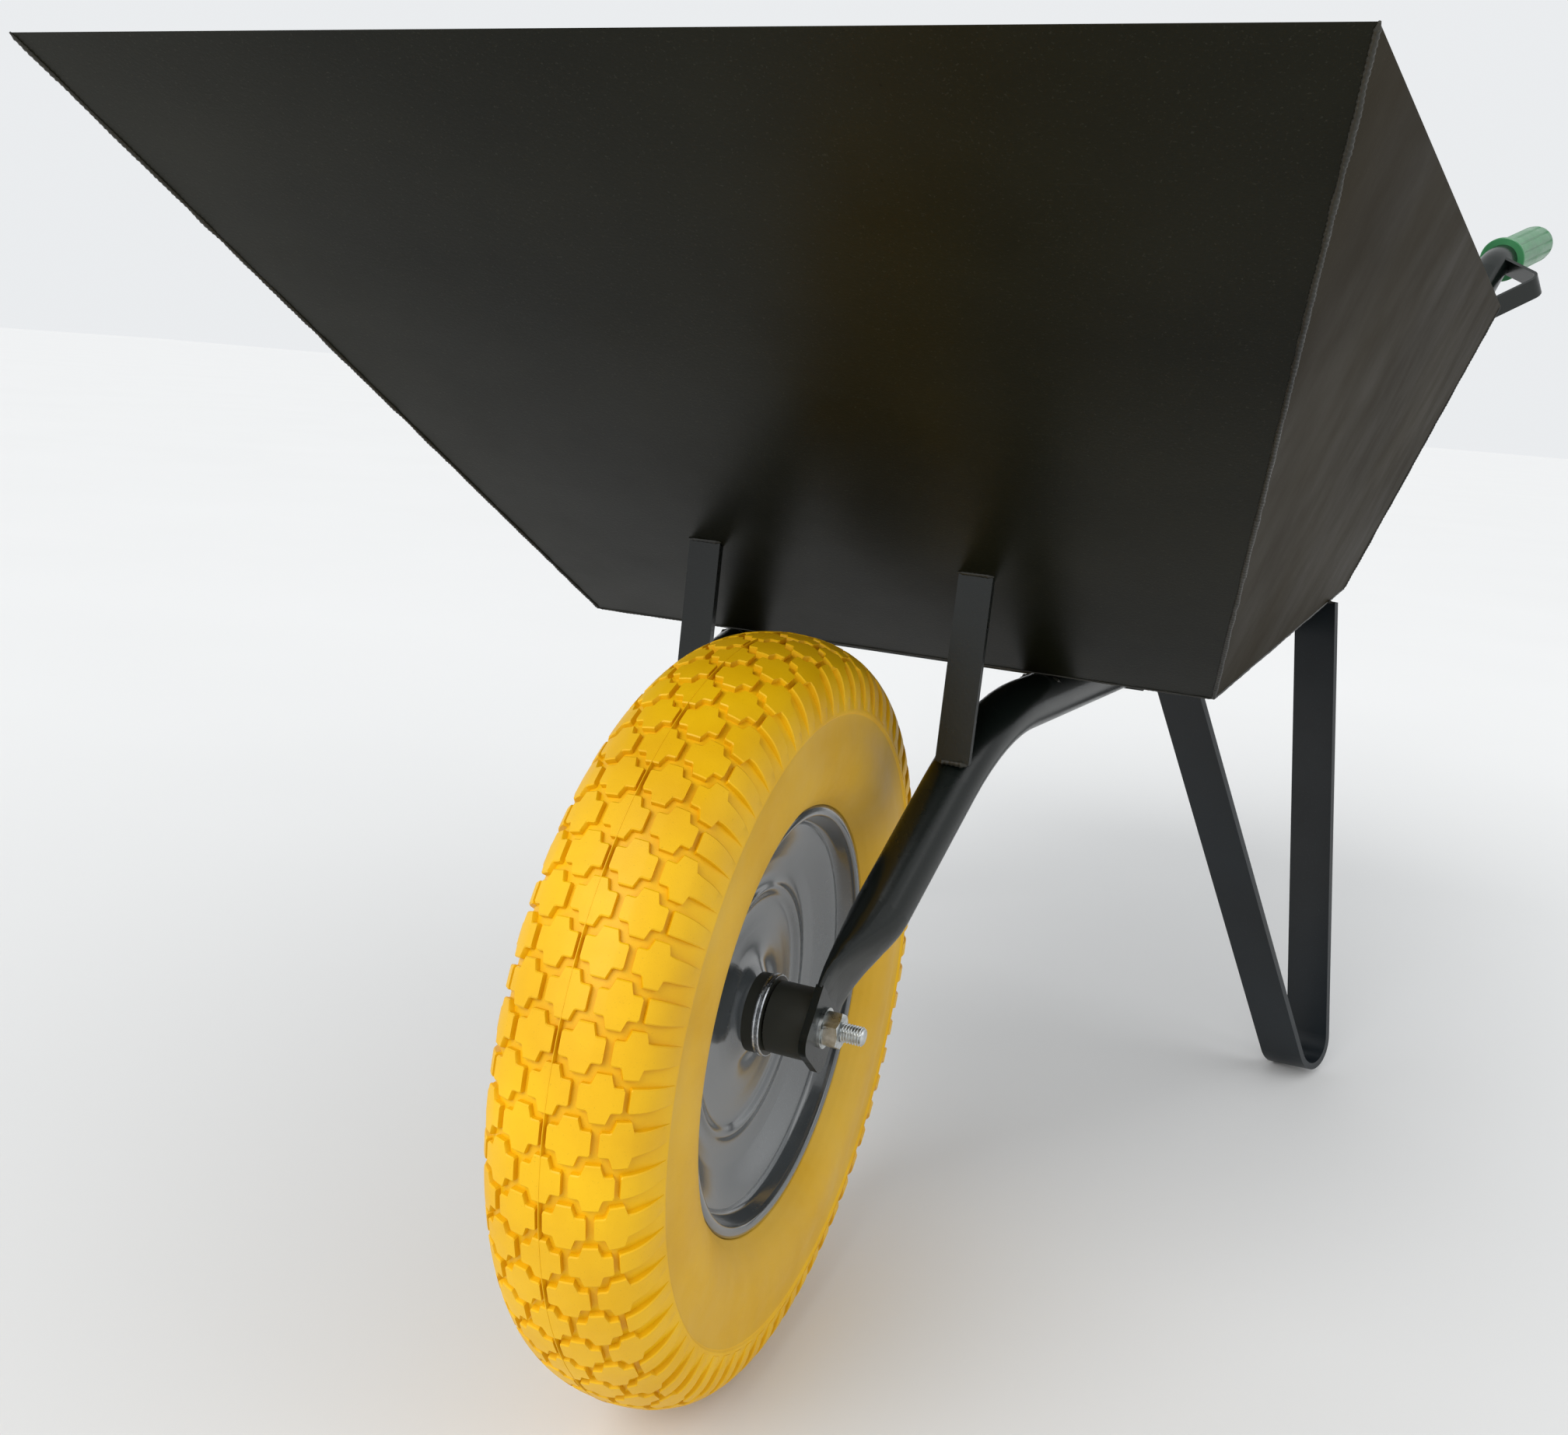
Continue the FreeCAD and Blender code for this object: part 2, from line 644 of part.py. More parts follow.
leftPlane = Plane(Vector(-rightPlane.point.x, rightPlane.point.y, rightPlane.point.z),
                  Vector(-rightPlane.inward.x, rightPlane.inward.y, rightPlane.inward.z))
sheetT = mm("sheetThickness")
lip = mm("lipWidth")


def walls(plane, depth=0.0):
    return (plane.inset(depth), plane.inset(depth + sheetT))


def lip_of(plane, along):
    return six_sided((plane.inset(sheetT), plane.inset(lip)), along, walls(topPlane))


bothSides = (leftPlane, rightPlane)
insideSides = (leftPlane.inset(sheetT), rightPlane.inset(sheetT))
insideEnds = (frontPlane.inset(sheetT), rearPlane.inset(sheetT))
insideLips = (frontPlane.inset(lip), rearPlane.inset(lip))
upward = (floorPlane, topPlane)
frontShape = six_sided(walls(frontPlane), bothSides, upward)
frontShape = frontShape.fuse(lip_of(frontPlane, insideSides))
built_shape("tray_front_plate", frontShape)
rearShape = six_sided(walls(rearPlane), bothSides, upward)
rearShape = rearShape.fuse(lip_of(rearPlane, insideSides))
built_shape("tray_rear_plate", rearShape)
sideShape = six_sided(walls(rightPlane), insideEnds, upward)
sideShape = sideShape.fuse(lip_of(rightPlane, insideLips))
sideRight = built_shape("tray_side_right", sideShape)
mirrored("tray_side_left", sideRight)
floorShape = six_sided(insideSides, insideEnds, walls(floorPlane))
built_shape("tray_floor", floorShape)

# ---------------------------------------------------------------- cross bars

roundSpace = round_sweep(tubeEdges, tubeR)
for place, y in (("front", mm("barFrontY")), ("rear", mm("barRearY"))):
    reach = tube_x(y) + mm("barOverhang")
    low = tube_axis(y) - floorUp * (tubeR + mm("barThickness"))
    bar = doc.addObject("Part::Box", "cross_bar_" + place)
    bar.Length = 2 * reach
    bar.setExpression("Width", "Sizes.barWidth")
    bar.setExpression("Height", "Sizes.barThickness")
    tilt = FreeCAD.Rotation(Vector(1, 0, 0), math.degrees(math.atan(floorSlope)))
    corner = Vector(-reach, low.y, low.z) - tilt.multVec(Vector(0, mm("barWidth") / 2, 0))
    bar.Placement = FreeCAD.Placement(corner + toMiddle, tilt)
    keep(bar, "cross_bar_" + place)

# ---------------------------------------------------------------- struts

def on_front_plate(z):
    share = (z - frontTop.z) / (frontLow.z - frontTop.z)
    y = frontTop.y + (frontLow.y - frontTop.y) * share
    return Vector(mm("strutX"), y, z)


strutHead = on_front_plate(height("strutTopZ"))
strutFootY = strutHead.y - mm("strutLean") * (height("strutTopZ") - height("strutLowZ"))
strutFoot = Vector(mm("strutX"), strutFootY, height("strutLowZ"))
strutWay = unit(strutFoot - strutHead)
strutLine = [strutHead - strutWay * 12, strutFoot + strutWay * 1.5]
strutFace = unit(sideways.cross(strutWay))
if strutFace.y > 0:
    strutFace = strutFace * -1
halfBar = mm("strutThickness") / 2
strutSolid = Part.makeBox(mm("strutWidth"), mm("strutThickness"),
                          (strutLine[1] - strutLine[0]).Length)
turnBar = FreeCAD.Rotation(sideways, strutFace * -1, strutWay, "ZXY")
cornerBar = strutLine[0] - sideways * (mm("strutWidth") / 2) + strutFace * halfBar
strutSolid.Placement = FreeCAD.Placement(cornerBar, turnBar)
plateBlock = six_sided((frontPlane, frontPlane.inset(60)), bothSides, upward)
strutSolid = strutSolid.cut([plateBlock, roundSpace])
strutSolid = max(strutSolid.Solids, key=lambda solid: solid.Volume)
strutRight = built_shape("strut_right", strutSolid)
mirrored("strut_left", strutRight)

# ---------------------------------------------------------------- legs

legFoot = Vector(mm("legFootX"), mm("legFootY"), 0)
legFront = under_floor(mm("legFrontX"), mm("legFrontY"), mm("tubeRadius"))
legRear = under_floor(mm("legRearX"), mm("legRearY"), 0)
spread = unit((legFront - legFoot)).getAngle(unit(legRear - legFoot))
legBend = mm("legBendRadius") - mm("strapThickness") / 2
bisector = unit(unit(legFront - legFoot) + unit(legRear - legFoot))
# the corner of the unrounded centre line lies below the rounded foot
tipDrop = legBend / math.sin(spread / 2) - legBend
lowest = legFoot + Vector(0, 0, mm("strapThickness") / 2)
legCorner = lowest - bisector * tipDrop
legPoints = [legFront, legCorner, legRear]
legSolid = strap(legPoints, legBend, mm("strapWidth"), mm("strapThickness"))
restOnFloor = Vector(0, 0, -legSolid.BoundBox.ZMin)
legPoints = [point + restOnFloor for point in legPoints]
above = 2 * mm("strapThickness")
legPoints[2] = legPoints[2] + unit(legPoints[2] - legPoints[1]) * above
legSolid = strap(legPoints, legBend, mm("strapWidth"), mm("strapThickness"))
overFloor = six_sided((leftPlane.inset(-80), rightPlane.inset(-80)),
                      (frontPlane.inset(-80), rearPlane.inset(-80)),
                      (floorPlane, floorPlane.inset(120)))
barSpace = [item.Shape.copy() for item in nodes if item.Label.startswith("cross_bar")]
for item in barSpace:
    item.translate(toMiddle * -1)
legSolid = legSolid.cut([overFloor, roundSpace] + barSpace)
legSolid = max(legSolid.Solids, key=lambda solid: solid.Volume)
legRight = built_shape("leg_right", legSolid)
mirrored("leg_left", legRight)

# ---------------------------------------------------------------- hand guards

guardStart = gripStart - gripDirection * 14
guardOut = Vector(mm("guardOutX"), mm("guardOutY"), mm("guardOutZ"))
guardCorner = guardStart + unit(guardOut) * (guardOut.Length + tubeR)
guardLow = handleBend - riseDirection * mm("guardDrop")
guardPoints = [guardStart, guardCorner, guardLow]
guard = strap(guardPoints, mm("guardBendRadius"), mm("guardWidth"), mm("guardThickness"))
gripSpace = pin_along(gripStart, gripDirection, mm("gripFlangeRadius") + 0.3, 0.2,
                      mm("gripLength"))
guard = guard.cut([roundSpace, gripSpace])
guard = max(guard.Solids, key=lambda solid: solid.Volume)
guardRight = built_shape("hand_guard_right", guard)
mirrored("hand_guard_left", guardRight)

# ---------------------------------------------------------------- grips

gripL = size("gripLength")
gripR = size("gripRadius")
gripHole = size("tubeRadius")
roundEnd = size("gripEndRound")
gripCorners = (
    (ZERO, gripHole), (gripL - size("gripEndWall"), gripHole),
    (gripL - size("gripEndWall"), ZERO), (gripL, ZERO), (gripL, gripR - roundEnd),
    (gripL - roundEnd * 0.08, gripR - roundEnd * 0.6),
    (gripL - roundEnd * 0.3, gripR - roundEnd * 0.3),
    (gripL - roundEnd * 0.6, gripR - roundEnd * 0.08), (gripL - roundEnd, gripR),
    (size("gripFlangeLength"), gripR), (size("gripFlangeLength"), size("gripFlangeRadius")),
    (ZERO, size("gripFlangeRadius")),
)
gripBody, gripTurn = turned("grip_right", gripCorners)
gripTilt = FreeCAD.Rotation(Vector(1, 0, 0), gripDirection)
gripBody.Placement = FreeCAD.Placement(gripStart + toMiddle, gripTilt)
gripRight = keep(gripBody, "grip_right")
mirrored("grip_left", gripRight)

# ---------------------------------------------------------------- checks and export

doc.recompute()
faults = []
for item in doc.Objects:
    if "Invalid" in item.State or "Error" in item.State:
        faults.append("%s: %s" % (item.Name, item.State))
for item in nodes:
    if item.Shape.isNull() or not item.Shape.isValid():
        faults.append("%s has no valid shape" % item.Label)
    if len(item.Shape.Solids) != 1:
        faults.append("%s has %d solids" % (item.Label, len(item.Shape.Solids)))
if faults:
    raise RuntimeError("; ".join(faults))

whole = FreeCAD.BoundBox()
for item in nodes:
    whole.add(item.Shape.BoundBox)
print("box", [round(v, 2) for v in (whole.XMin, whole.XMax, whole.YMin, whole.YMax,
                                    whole.ZMin, whole.ZMax)])
os.makedirs("parts", exist_ok=True)
for item in nodes:
    item.Shape.exportStep("parts/%s.step" % item.Label)
print("wrote %d sub-parts" % len(nodes))
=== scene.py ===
import json
import math

import bpy
import numpy as np
from mathutils import Matrix, Vector


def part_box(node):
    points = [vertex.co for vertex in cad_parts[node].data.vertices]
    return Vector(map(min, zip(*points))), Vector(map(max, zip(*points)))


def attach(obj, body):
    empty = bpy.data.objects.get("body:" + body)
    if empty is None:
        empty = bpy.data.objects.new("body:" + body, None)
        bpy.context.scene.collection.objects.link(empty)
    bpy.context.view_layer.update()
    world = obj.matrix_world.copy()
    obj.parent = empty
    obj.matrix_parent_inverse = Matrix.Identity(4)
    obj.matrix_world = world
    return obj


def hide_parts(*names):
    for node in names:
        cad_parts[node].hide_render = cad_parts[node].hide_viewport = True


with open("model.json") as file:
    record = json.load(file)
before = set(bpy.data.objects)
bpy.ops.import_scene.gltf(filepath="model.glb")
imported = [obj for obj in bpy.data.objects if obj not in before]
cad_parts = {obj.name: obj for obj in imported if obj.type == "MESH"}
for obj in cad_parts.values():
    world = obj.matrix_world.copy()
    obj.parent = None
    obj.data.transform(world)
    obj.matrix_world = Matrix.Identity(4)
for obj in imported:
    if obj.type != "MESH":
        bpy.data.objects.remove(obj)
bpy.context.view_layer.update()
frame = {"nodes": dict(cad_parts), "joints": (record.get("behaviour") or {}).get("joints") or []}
nodes = frame["nodes"]
axle = Vector(frame["joints"][0]["pos_m"])

# Outlines and radii are in mm and become metres through MM.
MM = 0.001
TURN = 2 * math.pi
SIDES = (("right", 1), ("left", -1))

# ------------------------------------------------------------------ node materials


def new_material(name):
    mat = bpy.data.materials.new(name)
    mat.use_nodes = True
    tree = mat.node_tree
    tree.nodes.clear()
    out = tree.nodes.new("ShaderNodeOutputMaterial")
    shader = tree.nodes.new("ShaderNodeBsdfPrincipled")
    tree.links.new(shader.outputs["BSDF"], out.inputs["Surface"])
    place = tree.nodes.new("ShaderNodeTexCoord").outputs["Object"]
    return mat, tree, shader, place


def noise(tree, place, scale, detail=3.0, rough=0.5, stretch=None, distortion=0.0):
    """Noise factor at this many cells to the metre; stretch scales each axis."""
    if stretch:
        mapping = tree.nodes.new("ShaderNodeMapping")
        mapping.inputs["Scale"].default_value = stretch
        tree.links.new(place, mapping.inputs["Vector"])
        place = mapping.outputs["Vector"]
    node = tree.nodes.new("ShaderNodeTexNoise")
    node.inputs["Scale"].default_value = scale
    node.inputs["Detail"].default_value = detail
    node.inputs["Roughness"].default_value = rough
    node.inputs["Distortion"].default_value = distortion
    tree.links.new(place, node.inputs["Vector"])
    return node.outputs["Fac"]


def remap(tree, value, low, high, to_low=0.0, to_high=1.0):
    """Value carried from one range to another and held within it."""
    node = tree.nodes.new("ShaderNodeMapRange")
    for key, number in zip(("From Min", "From Max", "To Min", "To Max"),
                           (low, high, to_low, to_high)):
        node.inputs[key].default_value = number
    tree.links.new(value, node.inputs["Value"])
    return node.outputs["Result"]


def mix(tree, factor, first, second):
    """Mix two colours; a colour is an RGB tuple or a socket."""
    node = tree.nodes.new("ShaderNodeMix")
    node.data_type = "RGBA"
    for socket, value in ((node.inputs[0], factor), (node.inputs[6], first),
                          (node.inputs[7], second)):
        if isinstance(value, bpy.types.NodeSocket):
            tree.links.new(value, socket)
        else:
            socket.default_value = (*value, 1.0)
    return node.outputs[2]


def bump(tree, shader, layers):
    """Stack bumps of (height socket, strength, distance in metres)."""
    last = None
    for height, strength, distance in layers:
        node = tree.nodes.new("ShaderNodeBump")
        node.inputs["Strength"].default_value = strength
        node.inputs["Distance"].default_value = distance
        tree.links.new(height, node.inputs["Height"])
        if last is not None:
            tree.links.new(last, node.inputs["Normal"])
        last = node.outputs["Normal"]
    tree.links.new(last, shader.inputs["Normal"])


def srgb(r, g, b):
    """Display colour 0..255 to linear."""
    return tuple((c / 255 / 12.92) if c / 255 <= 0.04045
                 else ((c / 255 + 0.055) / 1.055) ** 2.4 for c in (r, g, b))


def paint(name, dark, light, rough, gloss, specks, coat=0.0, wave=0.05):
    """Sprayed enamel on steel: cloudy tone, orange peel, dust specks, fine scratches."""
    mat, tree, shader, place = new_material(name)
    cloud = remap(tree, noise(tree, place, 5.0, detail=4.0, rough=0.55), 0.35, 0.68)
    colour = mix(tree, cloud, dark, light)
    grain = remap(tree, noise(tree, place, 900.0, detail=2.0, rough=0.6),
                  0.62, 0.74, 0.0, 0.35 * specks)
    colour = mix(tree, grain, colour, tuple(min(1.0, c * 4 + 0.03) for c in light))
    pits = remap(tree, noise(tree, place, 260.0, detail=3.0, rough=0.7),
                 0.70, 0.76, 0.0, 0.8 * specks)
    colour = mix(tree, pits, colour, tuple(c * 0.25 for c in dark))
    scratch = remap(tree, noise(tree, place, 60.0, detail=6.0, rough=0.75,
                                stretch=(0.35, 9.0, 2.2), distortion=0.6),
                    0.66, 0.72, 0.0, 0.22 * specks)
    colour = mix(tree, scratch, colour, tuple(min(1.0, c * 3 + 0.04) for c in light))
    tree.links.new(colour, shader.inputs["Base Color"])
    patches = noise(tree, place, 11.0, detail=5.0, rough=0.6)
    tree.links.new(remap(tree, patches, 0.3, 0.7, rough - 0.05, rough + 0.08),
                   shader.inputs["Roughness"])
    shader.inputs["Specular IOR Level"].default_value = gloss
    shader.inputs["Coat Weight"].default_value = coat
    shader.inputs["Coat Roughness"].default_value = 0.12
    bump(tree, shader, [
        (noise(tree, place, 3.2, detail=2.0, rough=0.4), wave, 0.02),
        (noise(tree, place, 620.0, detail=2.0), 0.10, 0.0004),
        (noise(tree, place, 2400.0, detail=2.0), 0.12, 0.0001)])
    return mat


def metal(name, dark, light, rough, scale):
    """Plated or ground steel: mottled tone, fine scratches, uneven gloss."""
    mat, tree, shader, place = new_material(name)
    cloud = remap(tree, noise(tree, place, scale, detail=5.0, rough=0.6), 0.35, 0.65)
    colour = mix(tree, cloud, dark, light)
    line = remap(tree, noise(tree, place, scale * 4, detail=4.0, rough=0.7,
                             stretch=(0.2, 3.0, 3.0)), 0.6, 0.75, 0.0, 0.5)
    colour = mix(tree, line, colour, tuple(c * 0.45 for c in dark))
    tree.links.new(colour, shader.inputs["Base Color"])
    tree.links.new(remap(tree, cloud, 0.0, 1.0, rough, rough + 0.14),
                   shader.inputs["Roughness"])
    shader.inputs["Metallic"].default_value = 1.0
    bump(tree, shader, [(noise(tree, place, scale * 5, rough=0.6), 0.25, 0.0001)])
    return mat


def moulded(name, dark, light, rough, grain, gloss, film=None, pitting=0.45):
    """Moulded plastic or polyurethane: soft mottling, skin grain, tiny pores."""
    mat, tree, shader, place = new_material(name)
    cloud = remap(tree, noise(tree, place, 22.0, detail=4.0, rough=0.55), 0.3, 0.7)
    colour = mix(tree, cloud, dark, light)
    pores = remap(tree, noise(tree, place, grain, detail=2.0, rough=0.6),
                  0.66, 0.74, 0.0, pitting)
    colour = mix(tree, pores, colour, tuple(c * 0.55 for c in dark))
    if film:
        smear = remap(tree, noise(tree, place, 9.0, detail=5.0, rough=0.65,
                                  stretch=(1, 1, 1), distortion=0.5), 0.4, 0.75, 0.0, 0.6)
        colour = mix(tree, smear, colour, film)
    tree.links.new(colour, shader.inputs["Base Color"])
    tree.links.new(remap(tree, noise(tree, place, 40.0, detail=4.0, rough=0.6), 0.3, 0.7,
                         rough - 0.06, rough + 0.08), shader.inputs["Roughness"])
    shader.inputs["Specular IOR Level"].default_value = gloss
    bump(tree, shader, [
        (noise(tree, place, 70.0), 0.10, 0.0012),
        (noise(tree, place, grain, detail=2.0, rough=0.6), 0.16, 0.00025)])
    return mat


TRAY = paint("tray_paint", srgb(14, 15, 7), srgb(26, 26, 16),
             rough=0.32, gloss=0.09, specks=0.7)
# Tray sides: the tray's paint with a lighter, browner base colour and almost no gloss; the brown
# is painted sheen, standing in for the olive-brown reflection on the sides.
SIDE_PAINTED_SHEEN = paint("tray_side_paint_painted_sheen", srgb(36, 30, 17), srgb(44, 38, 24),
             rough=0.5, gloss=0.012, specks=0.35, wave=0.01)
FRAME = paint("frame_paint", srgb(6, 10, 8), srgb(14, 20, 17),
              rough=0.24, gloss=0.42, specks=0.3)
LEG = paint("leg_paint", srgb(13, 18, 21), srgb(24, 31, 36),
            rough=0.36, gloss=0.4, specks=0.45)
RIM = paint("rim_enamel", srgb(52, 56, 58), srgb(80, 84, 86),
            rough=0.12, gloss=0.8, specks=0.3, coat=1.0)
WELD = paint("weld_bead_paint", srgb(16, 16, 10), srgb(42, 40, 30),
             rough=0.45, gloss=0.45, specks=1.0)
TYRE = moulded("tyre_yellow", srgb(222, 168, 2), srgb(236, 185, 6),
               rough=0.48, grain=1500.0, gloss=0.3)
# Wall yellow: the tyre's own yellow made darker and duller, partly for dust and partly as painted
# shade on walls that face away from the light.
WALL_DUST_AND_PAINTED_SHADE = moulded("tyre_yellow_wall_dust_and_painted_shade", srgb(208, 158, 20), srgb(220, 172, 38),
               rough=0.46, grain=1500.0, gloss=0.22, film=srgb(216, 178, 78))
GRIP = moulded("grip_green", srgb(46, 108, 66), srgb(62, 128, 82),
               rough=0.3, grain=700.0, gloss=0.5, pitting=0.12)
BLACK = moulded("spacer_black", srgb(34, 35, 30), srgb(50, 51, 44),
                rough=0.42, grain=1300.0, gloss=0.45)
ZINC = metal("zinc_plate", srgb(176, 180, 180), srgb(222, 225, 224), rough=0.26, scale=260.0)
STEEL = metal("bearing_steel", srgb(140, 142, 146), srgb(200, 203, 206), rough=0.16, scale=400.0)

# ------------------------------------------------------------------ mesh helpers


def piece(name, verts, faces, body, mat, replaces, crease):
    """A mesh object in the row frame, given in metres, riding on a body."""
    mesh = bpy.data.meshes.new(name)
    mesh.from_pydata([tuple(v) for v in verts], [], [tuple(f) for f in faces])
    mesh.validate()
    mesh.materials.append(mat)
    obj = bpy.data.objects.new(name, mesh)
    bpy.context.scene.collection.objects.link(obj)
    shade(obj, crease)
    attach(obj, body)
    if replaces:
        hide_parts(*replaces)
    return obj


def shade(obj, crease):
    """Smooth shading with every edge sharper than crease degrees kept crisp."""
    for polygon in obj.data.polygons:
        polygon.use_smooth = True
    obj.data.set_sharp_from_angle(angle=math.radians(crease))


def ring_faces(rings, around, closed=False, start=0):
    """Quads between neighbouring rings of vertices; closed joins the last to the first."""
    faces = []
    for i in range(rings if closed else rings - 1):
        for j in range(around):
            near, far = start + i * around, start + (i + 1) % rings * around
            following = (j + 1) % around
            faces.append((near + j, near + following, far + following, far + j))
    return faces


def rod_faces(rings, around, start=0):
    """Quads between the rings, and a face over each end."""
    last = start + (rings - 1) * around
    ends = [list(range(start, start + around)), list(reversed(range(last, last + around)))]
    return ring_faces(rings, around, False, start) + ends


def spline(points, per_span):
    """Catmull-Rom curve through 2-D points."""
    p = np.array(points, float)
    ends = np.vstack([2 * p[0] - p[1], p, 2 * p[-1] - p[-2]])
    found = []
    for i in range(1, len(ends) - 2):
        a, b, c, d = ends[i - 1:i + 3]
        for t in np.linspace(0, 1, per_span, endpoint=False):
            found.append(0.5 * (2 * b + (c - a) * t + (2 * a - 5 * b + 4 * c - d) * t ** 2
                                + (3 * b - a - 3 * c + d) * t ** 3))
    found.append(p[-1])
    return [tuple(point) for point in found]


def about_axle(x, radius, angle):
    """Point in metres at this radius and angle round the axle; angle 0 is up."""
    return (axle.x + x * MM, axle.y + radius * MM * math.sin(angle),
            axle.z + radius * MM * math.cos(angle))


def spin(profile, steps):
    """Closed (x, r) section turned about the axle, as verts and faces."""
    verts = [about_axle(x, r, TURN * k / steps) for k in range(steps) for x, r in profile]
    return verts, ring_faces(steps, len(profile), True)


# ------------------------------------------------------------------ tyre

TYRE_RADIUS = 195.0
TYRE_STEPS = 192
WALL_RADIUS = 159.2
WHEEL_ROWS = 64
ROW_PITCH = TURN * TYRE_RADIUS / WHEEL_ROWS
COLUMN = 22.0
TREAD_DEPTH = 2.7
TREAD_EDGE = 60.0
FADE_START, FADE_END = 42.0, 63.0
# A cross is a bar along the tread with an arm out to each side of it.
BAR_HALF, BAR_REACH = 3.2, 10.2
ARM_HALF, ARM_REACH = 5.3, 9.3
NECK_START, NECK_END = 1.5, 2.2
# A block's flank: how far it is sunk, spread at the foot, and rounded at the edge.
SUNK, SPREAD = 0.5, 0.4
EDGE_DROP, EDGE_SHARE, EDGE_OUT, EDGE_IN = 0.45, 0.3, 0.1, 0.5

crown_line = np.array(spline([(0, TYRE_RADIUS), (10.5, 194.2), (20.5, 191.6), (29.5, 186.6),
                              (35.8, 179.2), (39.0, 170.2), (40.0, 160.5)], 10))
wall_line = spline([(40.0, 160.5), (38.7, 158.4), (38.6, 151), (39.5, 142), (39.2, 131.5),
                    (36.6, 122.6), (33.0, 116.6), (30.0, 113.2), (27.7, 110.9)], 6)
steps = np.linalg.norm(np.diff(crown_line, axis=0), axis=1)
run = np.concatenate([[0], np.cumsum(steps)])


def crown(s, lift):
    """Point (x, r) at run s from the middle of the tread, lifted off the blocks' tops."""
    def x_at(a):
        return np.interp(a, run, crown_line[:, 0])

    def r_at(a):
        return np.interp(a, run, crown_line[:, 1])

    a = min(abs(s), run[-1])
    ahead = min(a + 0.6, run[-1])
    behind = max(a - 0.6, 0.0)
    tx = x_at(ahead) - x_at(behind)
    tr = r_at(ahead) - r_at(behind)
    length = math.hypot(tx, tr)
    x = x_at(a) - tr / length * lift
    r = r_at(a) + tx / length * lift
    return (x if s >= 0 else -x), r


def groove_depth(a):
    """How deep the grooves are at run a: full on the crown, none past the shoulder."""
    t = min(max((a - FADE_START) / (FADE_END - FADE_START), 0.0), 1.0)
    return TREAD_DEPTH * (1 - t * t * (3 - 2 * t))


def on_tyre(s, along, lift):
    x, r = crown(s, lift)
    return about_axle(x, r, along / TYRE_RADIUS)


def tyre_carcass():
    """The tyre without its blocks, seated on the rims, with a second, darker and duller material
    on the walls: partly dust, partly painted shade.
    """
    half = [crown(a, -groove_depth(a)) for a in np.linspace(0, run[-1], 46)]
    seat = [(25.3, 110.6), (25.3, 107.2), (16.5, 104.0), (15.0, 98.0), (8.5, 81.0)]
    profile = half + wall_line[1:] + seat
    profile += [(-x, r) for x, r in reversed(profile[1:])]
    verts, faces = spin(profile, TYRE_STEPS)
    carcass = piece("tyre_carcass", verts, faces, "wheel", TYRE,
                    ("tyre",), 40)
    carcass.data.materials.append(WALL_DUST_AND_PAINTED_SHADE)
    for polygon in carcass.data.polygons:
        c = polygon.center
        if math.hypot(c.y - axle.y, c.z - axle.z) < WALL_RADIUS * MM:
            polygon.material_index = 1


def block(stations, row_middle):
    """Verts and faces of a block through (run, half length) stations across the tyre."""
    verts = []
    for s, reach in stations:
        depth = groove_depth(abs(s))
        low = -depth - SUNK
        edge = -min(EDGE_DROP, depth * EDGE_SHARE)
        foot = reach + SPREAD
        for along, lift in ((-foot, low), (-reach - EDGE_OUT, edge), (-reach + EDGE_IN, 0.0),
                            (0, 0.0), (reach - EDGE_IN, 0.0), (reach + EDGE_OUT, edge),
                            (foot, low)):
            verts.append(on_tyre(s, row_middle + along, lift))
    return verts, rod_faces(len(stations), len(verts) // len(stations))


def cross_side(middle, side):
    """Stations from a cross's bar out to its arm's end on one side."""
    return [(middle + side * offset, reach)
            for offset, reach in ((BAR_HALF, BAR_REACH), (BAR_HALF + NECK_START, ARM_HALF + 0.5),
                                  (BAR_HALF + NECK_END, ARM_HALF), (ARM_REACH - 0.6, ARM_HALF),
                                  (ARM_REACH, ARM_HALF - 0.7))]


def cross(middle):
    return cross_side(middle, -1)[::-1] + [(middle, BAR_REACH)] + cross_side(middle, 1)


def rib(first):
    """Stations of a shoulder rib, narrowing from first out to the edge of the tread."""
    shares = [k / 9 for k in range(1, 10)]
    return [(first + (TREAD_EDGE - 1.0 - first) * share, ARM_HALF - 0.9 * share ** 2)
            for share in shares]


def lone_rib():
    """A rib that starts beyond the arm of the outermost cross."""
    first = COLUMN + ARM_REACH + 2.6
    return [(first, ARM_HALF - 0.7), (first + 0.6, ARM_HALF)] + rib(first)


def rib_from_cross():
    """The outermost cross of a row, whose outer arm runs on as a rib."""
    middle = COLUMN * 1.5
    return (cross_side(middle, -1)[::-1]
            + [(middle, BAR_REACH), (middle + BAR_HALF, BAR_REACH),
               (middle + BAR_HALF + NECK_START, ARM_HALF + 0.5)]
            + rib(middle + BAR_HALF + NECK_END))


def mirrored(stations):
    return [(-s, reach) for s, reach in reversed(stations)]


def row_blocks(row):
    """The blocks of one row; every second row is set over by half a column."""
    if row % 2 == 0:
        crosses = [cross(column * COLUMN) for column in (-1, 0, 1)]
        return crosses + [mirrored(lone_rib()), lone_rib()]
    return [cross(-COLUMN / 2), mirrored(rib_from_cross()), cross(COLUMN / 2), rib_from_cross()]


def tread():
    """All the blocks, and the thin mould line round the middle of the crown."""
    solids = [block(stations, row * ROW_PITCH)
              for row in range(WHEEL_ROWS) for stations in row_blocks(row)]
    mould_line = [(-0.45, 191.6), (0.45, 191.6), (0.14, 195.12), (-0.14, 195.12)]
    solids.append(spin(mould_line, TYRE_STEPS))
    verts, faces = [], []
    for more, more_faces in solids:
        faces += [tuple(len(verts) + k for k in face) for face in more_faces]
        verts += more
    piece("tread_blocks", verts, faces, "wheel", TYRE, (), 28)


tyre_carcass()
tread()

# ------------------------------------------------------------------ rims and hub rings

RIM_STEPS = 160
HUB_STEPS = 72

